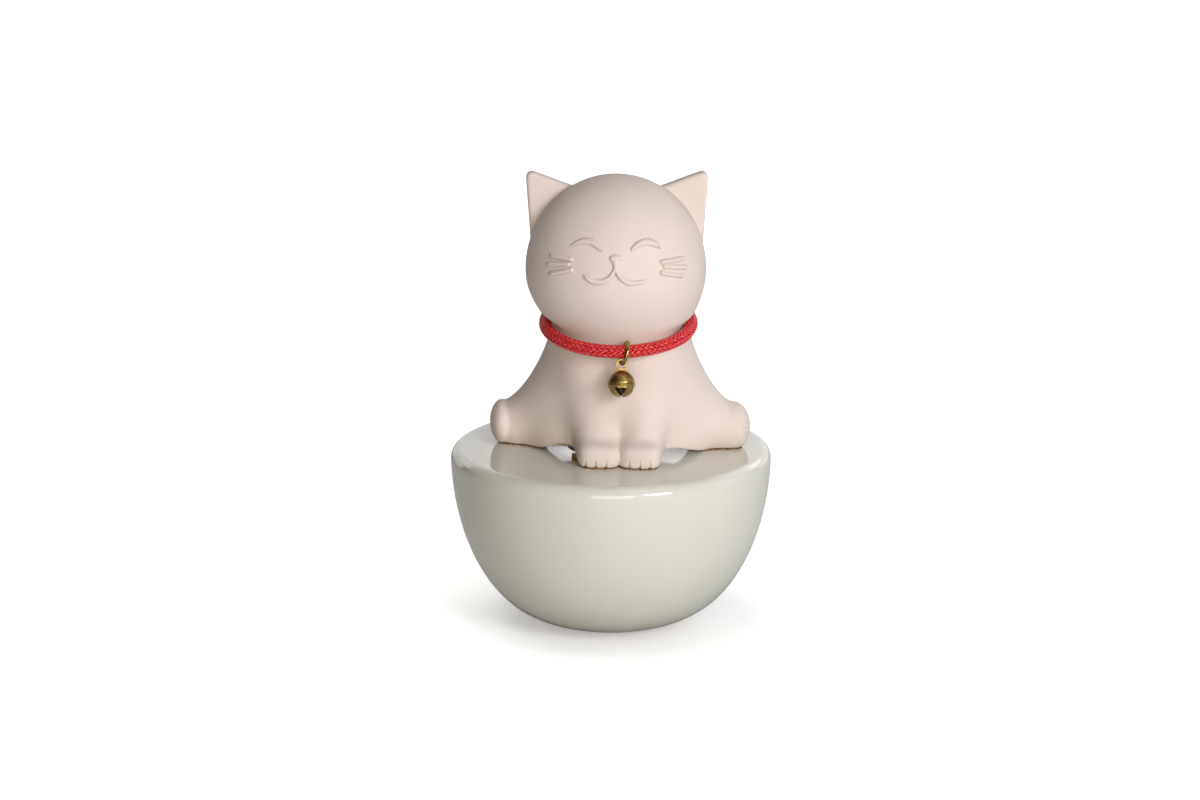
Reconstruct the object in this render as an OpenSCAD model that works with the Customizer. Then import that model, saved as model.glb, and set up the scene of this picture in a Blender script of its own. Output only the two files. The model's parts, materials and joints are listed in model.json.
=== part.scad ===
// Seated cat figurine on a self-righting bowl base, with a cord collar, a ring and a jingle bell.
// Frame: origin at the centre of the foot, +Z up, the cat faces -Y and its right-hand side in view is +X.

/* [Base] */
// Widest radius of the bowl base
base_r = 47; // [40:0.5:52]
// Height of the bowl base
base_h = 52.4; // [46:0.2:58]
// Radius of the rounded rim
rim_r = 3.2; // [2:0.1:4]
// Thickness of the base casting
base_wall = 4; // [3:0.25:5]
// Radius of the flat unglazed foot
foot_r = 11; // [8:0.5:14]
// Radius of the pour hole in the top of the base
pour_r = 12.5; // [10:0.5:13]

/* [Cat] */
// Thickness of the adhesive film under the cat
film_t = 0.25; // [0.15:0.05:0.5]
// Sideways offset of the cat on the base
cat_x = 2.3; // [0:0.1:3]
// Wall of the hollow cat casting
cat_wall = 3.2; // [2.6:0.1:4]
// Half width of the head
head_rx = 25.9; // [24.5:0.1:26.5]
// Half depth of the head
head_ry = 24; // [22:0.5:25]
// Height of the head's widest level above the base
head_z = 53.4; // [52:0.2:55]
// Thickness of the ears
ear_t = 5.4; // [4.5:0.1:6]

/* [Collar] */
// Radius of the braided cord
cord_r = 1.9; // [1.6:0.05:2]
// Radius of the collar's centreline
collar_r = 21; // [20.9:0.05:21.3]
// Forward tilt of the collar
collar_tilt = 10.4; // [9.6:0.2:11.2]

/* [Bell] */
// Radius of the bell
bell_r = 3.8; // [3.6:0.05:4]
// Wall of the bell's pressed sheet
bell_wall = 0.4; // [0.35:0.05:0.5]
// Radius of the ring's wire
wire_r = 0.55; // [0.45:0.05:0.6]
// Inner radius of the ring
ring_in_r = 2.55; // [2.5:0.05:2.75]

/* [Hidden] */
$fn = 64;

// ---------- Base ----------
// The bowl's side is a superellipse: nearly upright under the rim, round towards the foot.
side_pow = 3.35;
fall_pow = 1.8;
bowl_steps = 26;
// Height of the bowl's outside at radius r, for a bowl of radius big_r whose side rises by rise
function bowl_z(r, big_r, rise) = rise * (1 - pow(1 - pow(r / big_r, side_pow), 1 / fall_pow));
// Radii from the foot to the side, closer together near the side
function bowl_radii(from_r, big_r) =
    [for (i = [0 : bowl_steps]) from_r + (big_r - from_r) * sin(90 * i / bowl_steps)];
// The side starts lower than the foot's edge, and the foot is cut flat
side_rise = (base_h - rim_r) / (1 - bowl_z(foot_r, base_r, 1));
foot_lift = side_rise - base_h + rim_r;
rim_steps = 8;
hollow_r = base_r - base_wall;
floor_t = 5;
hollow_top = base_h - base_wall;
hollow_rim = 3;
hollow_rise = hollow_top - hollow_rim - floor_t;

// Half outline of the base's outside
outer_line = concat(
    [[0, 0], [foot_r, 0]],
    [for (r = bowl_radii(foot_r, base_r)) if (r > foot_r) [r, bowl_z(r, base_r, side_rise) - foot_lift]],
    [for (i = [1 : rim_steps])
        [base_r - rim_r + rim_r * cos(90 * i / rim_steps),
         base_h - rim_r + rim_r * sin(90 * i / rim_steps)]],
    [[0, base_h]]
);
// Half outline of the hollow
hollow_line = concat(
    [[0, floor_t]],
    [for (r = bowl_radii(foot_r, hollow_r)) [r, floor_t + bowl_z(r, hollow_r, hollow_rise)]],
    [for (i = [1 : rim_steps])
        [hollow_r - hollow_rim + hollow_rim * cos(90 * i / rim_steps),
         hollow_top - hollow_rim + hollow_rim * sin(90 * i / rim_steps)]],
    [[0, hollow_top]]
);

// Weight: an iron slug small enough for the pour hole, set in poured plaster
slug_r = 12;
slug_h = 24;
slug_lift = 2;
bedding_top = 27;

module base_shell() {
    color([0.84, 0.85, 0.81])
    difference() {
        rotate_extrude($fn = 128) polygon(outer_line);
        rotate_extrude($fn = 128) polygon(hollow_line);
        translate([0, 0, hollow_top - 1]) cylinder(r = pour_r, h = base_wall + 2);
    }
}

module counterweight() {
    color([0.35, 0.35, 0.36])
    translate([0, 0, floor_t + slug_lift]) cylinder(r = slug_r, h = slug_h);
}

module weight_bedding() {
    color([0.8, 0.79, 0.76])
    difference() {
        intersection() {
            rotate_extrude($fn = 128) polygon(hollow_line);
            cylinder(r = base_r, h = bedding_top);
        }
        translate([0, 0, floor_t + slug_lift]) cylinder(r = slug_r, h = slug_h);
    }
}

// Stopper pressed into the pour hole, flush with the top of the base
plug_flange = 2;
plug_t = 1.5;
module hole_plug() {
    color([0.72, 0.6, 0.45])
    union() {
        translate([0, 0, hollow_top]) cylinder(r = pour_r, h = base_wall);
        translate([0, 0, hollow_top - plug_t]) cylinder(r = pour_r - plug_flange, h = plug_t);
    }
}

// ---------- Cat ----------
// The casting's skin is the zero level of a smooth union of rounded solids, in the cat's own frame:
// z = 0 is its underside, and x = 0 its middle.
function soft_min(a, b, k) = let (h = max(k - abs(a - b), 0) / k) min(a, b) - h * h * h * k / 6;
function soft_max(a, b, k) = -soft_min(-a, -b, k);
function ease(v, a, b) = let (t = min(max((v - a) / (b - a), 0), 1)) t * t * (3 - 2 * t);
function egg(p, c, r) =
    let (d = p - c,
         u = norm([d.x / r.x, d.y / r.y, d.z / r.z]),
         v = norm([d.x / (r.x * r.x), d.y / (r.y * r.y), d.z / (r.z * r.z)]))
    u * (u - 1) / max(v, 0.0001);
function limb(p, a, b, ra, rb) =
    let (d = b - a, t = min(max((p - a) * d / (d * d), 0), 1))
    norm(p - a - t * d) - ra - t * t * (3 - 2 * t) * (rb - ra);
// Rounded block: a superellipsoid with exponent n
function block(p, c, r, n) =
    let (q = [abs(p.x - c.x) / r.x, abs(p.y - c.y) / r.y, abs(p.z - c.z) / r.z],
         u = pow(pow(q.x, n) + pow(q.y, n) + pow(q.z, n), 1 / n),
         v = norm([pow(q.x, n - 1) / r.x, pow(q.y, n - 1) / r.y, pow(q.z, n - 1) / r.z]))
    (u - 1) / max(v * pow(u, 1 - n), 0.0001);

// The head leans a little to one side and the hind legs sit a little skewed, as on a hand-set casting
head_lean = 0.9;
leg_skew = 0.08;
function set_pose(p) =
    let (s = ease(p.z, 28, 50)) [p.x - head_lean * s, p.y - leg_skew * p.x * (1 - s), p.z];

head_y = -5;
head_up = 27.3;
head_down = 21.9;
head_c = [0, head_y, head_z];
function head_field(p) = egg(p, head_c, [head_rx, head_ry, p.z > head_z ? head_up : head_down]);
function trunk_field(p) = limb([p.x / 1.13, p.y, p.z], [0.35, -2.6, 42], [0.25, 2.6, 6], 16.9, 17.6);
function throat_field(p) = egg(p, [0, -6, 35.5], [16, 13.4, 10.5]);
function chest_field(p) = soft_min(trunk_field(p), throat_field(p), 6);
function thigh_field(p) = limb([norm([p.x, 2.65]), p.y, p.z], [12, 0.5, 12.6], [31, 1.2, 6], 11.3, 5.9);
function belly_field(p) = egg([abs(p.x), p.y, p.z], [12.5, -1.5, 4.5], [12.5, 11.5, 9]);
function rear_field(p) = soft_min(soft_min(chest_field(p), thigh_field(p), 27), belly_field(p), 5);
// The front legs run together above the paws
function leg_gap(z) = 1.1 + 4.3 * ease(z, 8, 19);
function leg_field(p) =
    limb([norm([p.x, leg_gap(p.z)]), p.y, p.z], [8, -9.4, 26], [5.95, -18.2, 4], 9.3, 6);
function paw_field(p) = block([abs(p.x), p.y, p.z], [5.7, -21.2, 2.9], [6.25, 6.6, 3.9], 3.4);
// The left hind foot stands out in front of its thigh
function foot_ry(x) = x < 0 ? 7.4 : 6.4;
function hind_foot_field(p) = egg([abs(p.x), p.y, p.z], [34.2, 1.4, 6.1], [3.6, foot_ry(p.x), 6.3]);
function core_field(p) = soft_min(rear_field(p), head_field(p), 9);
function front_field(p) = soft_min(soft_min(rear_field(p), leg_field(p), 7), paw_field(p), 4);
function body_field(p) = soft_min(soft_min(front_field(p), hind_foot_field(p), 1.6), head_field(p), 9);
// Distance to the collar's centreline, and the groove that it lies in
collar_y = -4.6;
collar_z = 37.6;
collar_side = -0.2;
groove_gap = 0.42;
function collar_distance(p) =
    let (x = p.x - collar_side, y = p.y - collar_y, z = p.z - collar_z,
         across = y * cos(collar_tilt) + z * sin(collar_tilt),
         above = z * cos(collar_tilt) - y * sin(collar_tilt))
    norm([norm([x, across]) - collar_r, above]);
function skin_field(p) =
    soft_max(body_field(p), cord_r + groove_gap - collar_distance(set_pose(p)), 3.6);

// Rings of points on the skin: rays leave the cat's upright axis at even angles
ray_n = 64;
axis_y = -4;
far_r = 42;
near_r = 0.5;
function ray_point(a, r, z) = [r * cos(a), axis_y + r * sin(a), z];
// Distance from the axis to the skin, or to the hollow, by halving the interval n times
function skin_r(a, z, lo, hi, n) =
    n == 0 ? (lo + hi) / 2
    : skin_field(ray_point(a, (lo + hi) / 2, z)) < 0
        ? skin_r(a, z, (lo + hi) / 2, hi, n - 1) : skin_r(a, z, lo, (lo + hi) / 2, n - 1);
function hollow_at(a, z, lo, hi, n) =
    n == 0 ? (lo + hi) / 2
    : core_field(ray_point(a, (lo + hi) / 2, z)) < -cat_wall
        ? hollow_at(a, z, (lo + hi) / 2, hi, n - 1) : hollow_at(a, z, lo, (lo + hi) / 2, n - 1);
halvings = 11;

// Height of the underside: it rests on the paws, the hind legs and the rump, and is raised between
arch_h = 2.6;
function underside(x, y) =
    let (paws = (1 - ease(abs(x), 11.5, 13)) * (1 - ease(y, -17, -14)))
    arch_h * (1 - paws) * (1 - ease(abs(x), 14, 24.5)) * (1 - ease(y, 6, 10) * (1 - ease(abs(x), 9, 13)));

head_top = head_z + head_up;
skin_levels = concat(
    [for (a = [86, 80, 72, 64, 56, 48, 40, 32, 24, 16, 8, 0]) head_z + head_up * sin(a)],
    [for (a = [9, 17]) head_z - head_down * sin(a)],
    [45, 43.9, 42.9, 41.9, 40.9, 39.9, 38.9, 37.9, 36.9, 35.9, 34.9, 33.9, 32.8, 31.3, 29, 26, 23, 20],
    [17.5, 15, 13, 11.5, 10, 8.5, 7.3, 6.2, 5, 3.8, 2.6, 1.4, 0.5, 0]
);
lift_below = 10;
// Levels under lift_below close up to stay above the underside
function lifted(z, low) = z > lift_below ? z : low + (lift_below - low) * z / lift_below;
function rim_low(a) =
    let (p = ray_point(a, skin_r(a, 1.5, near_r, far_r, halvings), 0)) underside(p.x, p.y);
angles = [for (i = [0 : ray_n - 1]) 360 * i / ray_n];
axis_point = [0, axis_y, 0];
function toward_axis(p, s) = axis_point + s * [p.x, p.y - axis_y, 0];
function under_point(q) = [q.x, q.y, underside(q.x, q.y)];

// Drain hole and hollow
drain_r = 4;
hollow_floor = arch_h + cat_wall;
hollow_top_z = head_z + head_up - cat_wall;
hollow_levels = concat(
    [hollow_floor, 7.5, 10, 14, 18, 23, 28, 33],
    [for (a = [48, 38, 20, 0]) head_z - (head_down - cat_wall) * sin(a)],
    [for (a = [20, 40, 60, 78]) head_z + (head_up - cat_wall) * sin(a)]
);

// One closed skin: down the outside, under the body, up the drain hole and up the hollow's wall
module cat_skin() {
    lows = [for (a = angles) rim_low(a)];
    outer_rings = [for (z = skin_levels)
        [for (i = [0 : ray_n - 1])
            let (h = lifted(z, lows[i]), a = angles[i])
            ray_point(a, skin_r(a, h, near_r, far_r, halvings), h)]];
    rim_ring = outer_rings[len(outer_rings) - 1];
    under_rings = [for (s = [0.97, 0.85, 0.65, 0.4]) [for (p = rim_ring) under_point(toward_axis(p, s))]];
    drain_rings = [for (z = [arch_h, hollow_floor]) [for (a = angles) ray_point(a, drain_r, z)]];
    hollow_rings = [for (z = hollow_levels)
        [for (a = angles) ray_point(a, hollow_at(a, z, near_r, far_r, halvings), z)]];
    floor_ring = [for (p = hollow_rings[0]) toward_axis(p, 0.6) + [0, 0, hollow_floor]];
    rings = concat(outer_rings, under_rings, drain_rings, [floor_ring], hollow_rings);
    last = len(rings) - 1;
    outer_pole = len(rings) * ray_n;
    inner_pole = outer_pole + 1;
    polyhedron(
        points = concat(
            [for (ring = rings) for (p = ring) set_pose(p)],
            [set_pose([0, head_y, head_top]), set_pose([0, head_y, hollow_top_z])]
        ),
        faces = concat(
            [for (i = [0 : ray_n - 1]) [outer_pole, ring_index(0, i + 1), ring_index(0, i)]],
            [for (k = [0 : last - 1]) for (i = [0 : ray_n - 1])
                [ring_index(k, i), ring_index(k, i + 1), ring_index(k + 1, i + 1)]],
            [for (k = [0 : last - 1]) for (i = [0 : ray_n - 1])
                [ring_index(k, i), ring_index(k + 1, i + 1), ring_index(k + 1, i)]],
            [for (i = [0 : ray_n - 1]) [inner_pole, ring_index(last, i), ring_index(last, i + 1)]]
        ),
        convexity = 6
    );
}
function ring_index(k, i) = k * ray_n + i % ray_n;

// Face in low relief: points are [x, z, half width] from the head's middle, put on the head's front
relief_h = 0.65;
function on_face(q) =
    let (h = q.y > head_z ? head_up : head_down)
    [q.x - head_lean,
     head_y - head_ry * sqrt(1 - pow(q.x / head_rx, 2) - pow((q.y - head_z) / h, 2))
         + q.z - min(relief_h, 0.85 * q.z),
     q.y];
module relief(line) {
    for (i = [0 : len(line) - 2])
        hull() {
            translate(on_face(line[i])) sphere(r = line[i].z, $fn = 8);
            translate(on_face(line[i + 1])) sphere(r = line[i + 1].z, $fn = 8);
        }
}
face_lines = [
    [[-12.4, 64.1, 0.4], [-10.8, 65, 0.65], [-8.7, 65.5, 0.9], [-6.9, 65.4, 0.95], [-5.5, 64.6, 0.85],
     [-4.2, 63.3, 0.45]],
    [[4.4, 63.4, 0.4], [5.4, 64.3, 0.75], [7, 65.1, 0.95], [8.8, 65.3, 0.95], [10.5, 64.8, 0.85],
     [12.3, 63.6, 0.4]],
    [[-1, 61.1, 0.95], [0.9, 61.1, 0.9]],
    [[-0.1, 60.9, 1.45], [-0.1, 59.7, 1], [-0.1, 58.5, 0.75]],
    [[-0.1, 58.5, 0.75], [-0.6, 57.6, 0.65], [-1.3, 56.4, 0.75], [-2.6, 55.2, 0.85], [-4.4, 54.5, 0.85],
     [-6.4, 54.6, 0.85], [-8, 55.4, 0.65], [-9, 56.3, 0.4]],
    [[-0.1, 58.5, 0.75], [0.4, 57.2, 0.65], [1.4, 55.7, 0.75], [3, 54.6, 0.85], [4.8, 54.2, 0.85],
     [6.8, 54.4, 0.65], [8.4, 54.9, 0.4]],
    [[-18.2, 60.5, 0.85], [-12.4, 60.2, 0.8]],
    [[-19.3, 58, 0.8], [-13.2, 58.8, 0.8]],
    [[-18.4, 55.7, 0.8], [-12.4, 57.4, 0.8]],
    [[13, 59.6, 0.75], [18.7, 59.7, 0.7]],
    [[13.7, 58.3, 0.75], [19.6, 57.2, 0.75]],
    [[12.8, 56.6, 0.65], [18.5, 55, 0.65]]
];

// Ear: a rounded triangular slab that leans on the side of the head
ear_round = 1.7;
ear_y = 0.4;
ear_shift = 0.3;
ear_corners = [[24.3, 79], [10, 73.6], [23, 60]];
module ear() {
    hull()
        for (q = ear_corners)
            for (y = [ear_y - ear_t / 2 + ear_round, ear_y + ear_t / 2 - ear_round])
                translate([q.x, y, q.y]) sphere(r = ear_round, $fn = 12);
}
// Short tail lying against the rump
tail_line = [[0, 16, 4.2], [5, 17.2, 3.8], [9.5, 16, 3.6]];
tail_radii = [3.6, 3.2, 2.8];
module tail() {
    for (i = [0 : len(tail_line) - 2])
        hull() {
            translate(tail_line[i]) sphere(r = tail_radii[i], $fn = 12);
            translate(tail_line[i + 1]) sphere(r = tail_radii[i + 1], $fn = 12);
        }
}
cat_base = [cat_x, 0, base_h + film_t];
module cat_figure() {
    color([0.9, 0.85, 0.81])
    translate(cat_base) {
        cat_skin();
        for (side = [-1, 1]) translate([ear_shift - head_lean, 0, 0]) scale([side, 1, 1]) ear();
        tail();
        for (line = face_lines) relief(line);
    }
}

// Adhesive films under the paws, the hind legs and the rump: bars with round ends
module glue(at, long, wide) {
    color([0.45, 0.3, 0.12])
    translate([cat_x + at.x, at.y, base_h])
    union() {
        for (side = [-1, 1]) translate([side * (long - wide) / 2, 0, 0]) cylinder(d = wide, h = film_t);
        translate([-(long - wide) / 2, -wide / 2, 0]) cube([long - wide, wide, film_t]);
    }
}
module paw_glue_left() glue([-5.9, -20.5], 8, 6);
module paw_glue_right() glue([5.9, -21.5], 8, 6);
module hind_glue_left() glue([-30, 3.5], 11, 5);
module hind_glue_right() glue([30, -1.5], 11, 5);
module rump_glue() glue([0, 13], 18, 4);

// ---------- Collar, ring and bell ----------
module collar_place() {
    translate(cat_base + [collar_side, collar_y, collar_z]) rotate([collar_tilt, 0, 0]) children();
}
module collar_cord() {
    color([0.8, 0.14, 0.17])
    collar_place() rotate_extrude($fn = 96) translate([collar_r, 0]) circle(r = cord_r, $fn = 24);
}

// Thread whipping over the cord's joined ends, at the back
binding_t = 0.2;
binding_turn = 20;
module cord_binding() {
    color([0.62, 0.08, 0.1])
    collar_place()
    rotate([0, 0, 90 - binding_turn / 2])
    rotate_extrude(angle = binding_turn, $fn = 96)
    translate([collar_r, 0])
    difference() {
        circle(r = cord_r + binding_t, $fn = 32);
        circle(r = cord_r, $fn = 24);
    }
}

// The ring hangs on the cord a little to one side of the front, tilted and half turned
ring_side = 5;
ring_drop = 0.45;
ring_lean = 16.5;
ring_yaw = 11;
ring_gap = 4;
ring_mean_r = ring_in_r + wire_r;
cross_local = [collar_r * sin(ring_side), -collar_r * cos(ring_side), 0];
cross_point = cat_base + [collar_side, collar_y, collar_z]
    + [cross_local.x, cross_local.y * cos(collar_tilt), cross_local.y * sin(collar_tilt)];
ring_up = [sin(ring_lean) * cos(ring_yaw), sin(ring_lean) * sin(ring_yaw), cos(ring_lean)];
ring_c = cross_point - ring_drop * ring_up;
ring_bottom = ring_c - ring_mean_r * ring_up;
module jump_ring() {
    color([0.66, 0.54, 0.26])
    translate(ring_c) rotate([0, 0, ring_yaw]) rotate([0, ring_lean, 0])
    rotate([90, 0, 90])
    rotate([0, 0, 90 + ring_gap / 2])
    rotate_extrude(angle = 360 - ring_gap, $fn = 96)
    translate([ring_mean_r, 0]) circle(r = wire_r, $fn = 24);
}

eye_drop = 0.28;
eye_hole_r = 1;
eye_r = 1.72;
eye_t = 0.8;
eye_above = 5.45;
belt_r = bell_r + 0.1;
belt_h = 0.5;
bell_turn = -5.5;
bell_lean = 13;
// The bell hangs from the ring with its mouth a little forward; its own middle is the children's origin
module bell_hang() {
    translate(ring_bottom - [0, 0, eye_drop]) rotate([-bell_lean, 0, 0])
    translate([0, 0, -eye_above]) children();
}
module bell_place() {
    bell_hang() rotate([0, 0, bell_turn]) children();
}
module bell_eye() {
    color([0.66, 0.54, 0.26])
    bell_hang()
    difference() {
        union() {
            translate([0, 0, eye_above]) rotate([90, 0, 0]) cylinder(r = eye_r, h = eye_t, center = true);
            translate([-1.2, -eye_t / 2, bell_r - 0.4]) cube([2.4, eye_t, eye_above - bell_r]);
        }
        translate([0, 0, eye_above]) rotate([90, 0, 0])
            cylinder(r = eye_hole_r, h = 2 * eye_t, center = true);
        sphere(r = bell_r);
    }
}
module bell_cap() {
    color([0.62, 0.5, 0.23])
    bell_place()
    difference() {
        sphere(r = bell_r);
        sphere(r = bell_r - bell_wall);
        translate([-2 * bell_r, -2 * bell_r, -4 * bell_r]) cube(4 * bell_r);
    }
}
// The cup's four openings: wide under the belt and running together in narrow slots below
slot_line = [
    [-1.65, -1.2], [-1.35, -0.92], [-0.6, -1.05], [0, -1.25], [0.6, -1.05], [1.35, -0.92], [1.65, -1.2],
    [1.5, -1.7], [0.75, -2.5], [0.28, -3.1], [0.28, -4.5], [-0.28, -4.5], [-0.28, -3.1], [-0.75, -2.5],
    [-1.5, -1.7]
];
module bell_cup() {
    color([0.62, 0.5, 0.23])
    bell_place()
    difference() {
        union() {
            sphere(r = bell_r);
            translate([0, 0, -belt_h]) cylinder(r = belt_r, h = belt_h);
        }
        sphere(r = bell_r - bell_wall);
        translate([-2 * bell_r, -2 * bell_r, 0]) cube(4 * bell_r);
        for (turn = [0 : 90 : 270]) rotate([0, 0, turn]) rotate([90, 0, 90])
            linear_extrude(2 * bell_r) polygon(slot_line);
    }
}
pellet_r = 1.6;
pellet_gap = 0.08;
module bell_pellet() {
    color([0.5, 0.5, 0.52])
    bell_hang() translate([0, 0, -(bell_r - bell_wall - pellet_gap - pellet_r)]) sphere(r = pellet_r);
}

base_shell();
counterweight();
weight_bedding();
hole_plug();
cat_figure();
paw_glue_left();
paw_glue_right();
hind_glue_left();
hind_glue_right();
rump_glue();
collar_cord();
cord_binding();
jump_ring();
bell_eye();
bell_cap();
bell_cup();
bell_pellet();
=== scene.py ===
"""Looks for the seated cat figurine on its self-righting bowl base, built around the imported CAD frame."""

import json
import math

import bmesh
import bpy
import numpy as np
import openvdb
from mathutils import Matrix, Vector


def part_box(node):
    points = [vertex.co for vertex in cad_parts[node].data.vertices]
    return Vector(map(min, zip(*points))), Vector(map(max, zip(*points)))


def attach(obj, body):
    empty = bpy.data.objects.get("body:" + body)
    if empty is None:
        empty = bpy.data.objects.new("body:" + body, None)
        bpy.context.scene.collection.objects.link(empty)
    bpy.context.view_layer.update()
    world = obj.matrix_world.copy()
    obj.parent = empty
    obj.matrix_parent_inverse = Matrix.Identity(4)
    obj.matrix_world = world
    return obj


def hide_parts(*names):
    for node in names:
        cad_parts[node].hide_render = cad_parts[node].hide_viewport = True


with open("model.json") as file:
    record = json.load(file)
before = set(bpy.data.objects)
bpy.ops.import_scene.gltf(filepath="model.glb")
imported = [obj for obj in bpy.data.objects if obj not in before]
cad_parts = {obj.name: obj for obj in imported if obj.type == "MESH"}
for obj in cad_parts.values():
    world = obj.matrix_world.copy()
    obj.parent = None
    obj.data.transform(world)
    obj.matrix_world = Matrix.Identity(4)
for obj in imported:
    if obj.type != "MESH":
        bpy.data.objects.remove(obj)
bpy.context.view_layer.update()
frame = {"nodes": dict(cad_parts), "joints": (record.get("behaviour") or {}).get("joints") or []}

MM = 0.001


def middle(node):
    """Middle of a CAD node's box, in mm."""
    low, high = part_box(node)
    return np.array((low + high) / 2) / MM


def top_of(node):
    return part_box(node)[1].z / MM


# Places, in mm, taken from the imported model
BASE_TOP = top_of("base_shell")
BASE_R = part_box("base_shell")[1].x / MM
FILM_TOP = top_of("rump_glue")
CAT = np.array([middle("rump_glue")[0], 0.0, FILM_TOP])
COLLAR_C = middle("collar_cord")
JOINTS = {joint["name"]: joint for joint in frame["joints"]}
BELL_C = np.array(JOINTS["pellet_roll"]["pos_m"]) / MM

# ---------------------------------------------------------------- camera and lights
FOCUS = Vector((0, 0, 0.05264))
CAMERA_TILT = math.radians(15.127)
CAMERA_FAR = 0.9
camera_data = bpy.data.cameras.new("camera")
camera_data.lens = 92.32
camera_data.sensor_width = 36
camera_data.shift_x = -0.0092
camera_data.shift_y = 0.0368
camera_data.clip_start = 0.01
camera = bpy.data.objects.new("camera", camera_data)
camera.location = FOCUS + CAMERA_FAR * Vector((0, -math.cos(CAMERA_TILT), math.sin(CAMERA_TILT)))
camera.rotation_euler = (math.pi / 2 - CAMERA_TILT, 0, 0)
bpy.context.scene.collection.objects.link(camera)
bpy.context.scene.camera = camera
bpy.context.scene.view_settings.view_transform = "Standard"


def softbox(name, place, aim, width, height, power, color=(1, 1, 1)):
    """A rectangular light at a place, turned to its aim: metres and watts."""
    data = bpy.data.lights.new(name, "AREA")
    data.shape = "RECTANGLE"
    data.size = width
    data.size_y = height
    data.energy = power
    data.color = color
    light = bpy.data.objects.new(name, data)
    light.location = place
    light.rotation_euler = (Vector(aim) - Vector(place)).to_track_quat("-Z", "Y").to_euler()
    bpy.context.scene.collection.objects.link(light)
    return light


LIGHT_FAR = 1.15
LIGHT_AIM = Vector((0, 0, 0.08))
COOL = (0.98, 1.0, 1.05)
WARM = (1.09, 1.0, 0.86)
WHITE = (1, 1, 1)
# Name: degrees to the right of the camera, degrees up, size in m, power in W, colour
LIGHTS = {
    "key": (34, 21, 0.38, 6.0, COOL),
    "front": (0, 8, 0.6, 4.2, WARM),
    "front_right": (24, 15, 0.6, 1.8, COOL),
    "high_right": (38, 60, 0.6, 1.1, WHITE),
    "side": (100, 20, 0.6, 1.3, WHITE),
    "back_right": (140, 32, 0.6, 1.9, WHITE),
    "back_left": (-140, 32, 0.6, 0.7, WARM),
    "overhead": (0, 89, 0.9, 1.0, WARM)}


def round_the_cat(name, turn, height, size, power, color):
    """A square softbox at a turn to the right of the camera and a height, in degrees, aimed at the cat."""
    turn, height = math.radians(turn), math.radians(height)
    away = Vector((math.sin(turn) * math.cos(height), -math.cos(turn) * math.cos(height), math.sin(height)))
    softbox(name, LIGHT_AIM + LIGHT_FAR * away, LIGHT_AIM, size, size, power, color)


for light_name, light_row in LIGHTS.items():
    round_the_cat(light_name, *light_row)
# The white wall behind, which only the shiny surfaces pick up
wall = softbox("white_wall", (0, 1.6, 0.5), (0, 0, 0.5), 3.6, 1.3, 19.0)
wall.visible_diffuse = False
wall.visible_camera = False

world = bpy.data.worlds.new("studio")
bpy.context.scene.world = world
world.use_nodes = True
backdrop = world.node_tree.nodes["Background"]
backdrop.inputs["Color"].default_value = (1.0, 1.0, 1.0, 1)
backdrop.inputs["Strength"].default_value = 0.02


# ---------------------------------------------------------------- node helpers
class Finish:
    """A material with a Principled shader and short ways to add nodes to it."""

    def __init__(self, name, **sockets):
        self.material = bpy.data.materials.new(name)
        self.material.use_nodes = True
        self.nodes = self.material.node_tree.nodes
        self.links = self.material.node_tree.links
        self.shader = self.nodes["Principled BSDF"]
        for socket, value in sockets.items():
            self.shader.inputs[socket.replace("_", " ")].default_value = value

    def node(self, kind, sockets=None, **settings):
        node = self.nodes.new("ShaderNode" + kind)
        for key, value in settings.items():
            setattr(node, key, value)
        for key, value in (sockets or {}).items():
            if isinstance(value, bpy.types.NodeSocket):
                self.links.new(value, node.inputs[key])
            else:
                node.inputs[key].default_value = value
        return node

    def place(self):
        return self.node("TexCoord").outputs["Object"]

    def noise(self, scale, detail, roughness=0.5, at=None):
        sockets = {"Vector": at or self.place(), "Scale": scale, "Detail": detail, "Roughness": roughness}
        return self.node("TexNoise", sockets).outputs["Fac"]

    def stretch(self, value, from_low, from_high, to_low=0.0, to_high=1.0):
        sockets = {"Value": value, "From Min": from_low, "From Max": from_high,
                   "To Min": to_low, "To Max": to_high}
        return self.node("MapRange", sockets).outputs["Result"]

    def mix(self, amount, a, b):
        node = self.node("Mix", {0: amount}, data_type="RGBA")
        for index, value in ((6, a), (7, b)):
            if isinstance(value, bpy.types.NodeSocket):
                self.links.new(value, node.inputs[index])
            else:
                node.inputs[index].default_value = value
        return node.outputs[2]

    def math(self, operation, a, b, clamp=False):
        return self.node("Math", {0: a, 1: b}, operation=operation, use_clamp=clamp).outputs[0]

    def bump(self, height, depth, strength):
        node = self.node("Bump", {"Height": height, "Distance": depth, "Strength": strength})
        self.links.new(node.outputs["Normal"], self.shader.inputs["Normal"])

    def nearby(self, place, reach):
        """1 at a place given in mm, falling to 0 at its reach along each axis."""
        away = self.node("VectorMath", {0: self.place(), 1: [v * MM for v in place]}, operation="SUBTRACT")
        away = self.node("VectorMath", {0: away.outputs[0], 1: [v * MM for v in reach]}, operation="DIVIDE")
        away = self.node("VectorMath", {0: away.outputs[0]}, operation="LENGTH")
        return self.stretch(away.outputs["Value"], 1.0, 0.5)

    def feed(self, socket, value):
        self.links.new(value, self.shader.inputs[socket])


def rgb(red, green, blue):
    """Linear colour from display values of 0 to 255."""
    return (*[((v / 255 + 0.055) / 1.055) ** 2.4 for v in (red, green, blue)], 1)


def axis_height(finish, low, high):
    """0 to 1 as z goes from low to high, in mm."""
    split = finish.node("SeparateXYZ", {0: finish.place()})
    return finish.stretch(split.outputs["Z"], low * MM, high * MM)


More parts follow.
